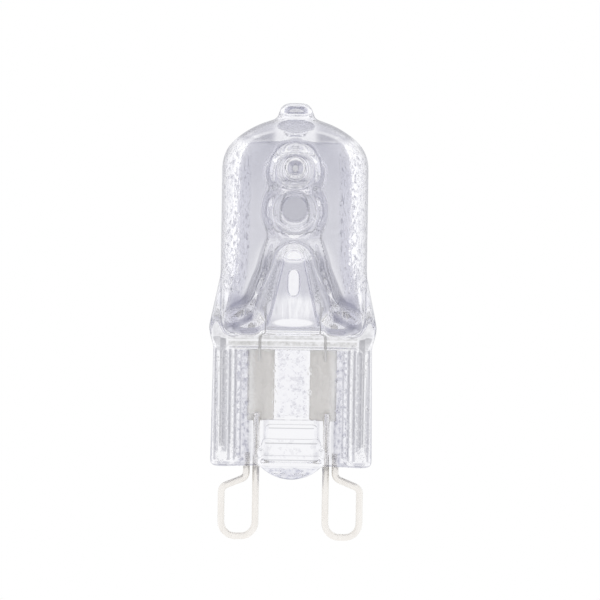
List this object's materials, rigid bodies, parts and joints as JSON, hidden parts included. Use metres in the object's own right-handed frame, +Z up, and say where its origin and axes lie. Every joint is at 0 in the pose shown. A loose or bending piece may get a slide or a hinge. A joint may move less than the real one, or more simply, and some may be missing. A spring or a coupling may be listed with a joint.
{
  "type": "halogen capsule bulb",
  "caption": "Clear halogen capsule bulb: a domed glass body pressed flat at its foot, with a filament draped over a glass post inside and wire contact loops below.",
  "frame": {"origin": "middle of the pinch's bottom face, where the contact loops leave the glass", "axes": "+Z up the bulb's axis to the sealed tip, +X across the pinch from the left loop to the right loop, +Y through the pinch from its front to its back"},
  "size_m": [0.0156, 0.0136, 0.0409],
  "materials": {
    "quartz_glass": "clear, slightly uneven from pressing",
    "loop_wire": "bright nickel-plated wire",
    "seal_foil": "dull molybdenum foil",
    "lead_wire": "grey molybdenum wire",
    "tungsten": "dark grey tungsten wire"
  },
  "bodies": {
    "root": {"glass_envelope": "quartz_glass", "filament": "tungsten", "inner_lead_left": "lead_wire", "inner_lead_right": "lead_wire", "seal_foil_left": "seal_foil", "seal_foil_right": "seal_foil", "contact_loop_left": "loop_wire", "contact_loop_right": "loop_wire"}
  },
  "joints": []
}
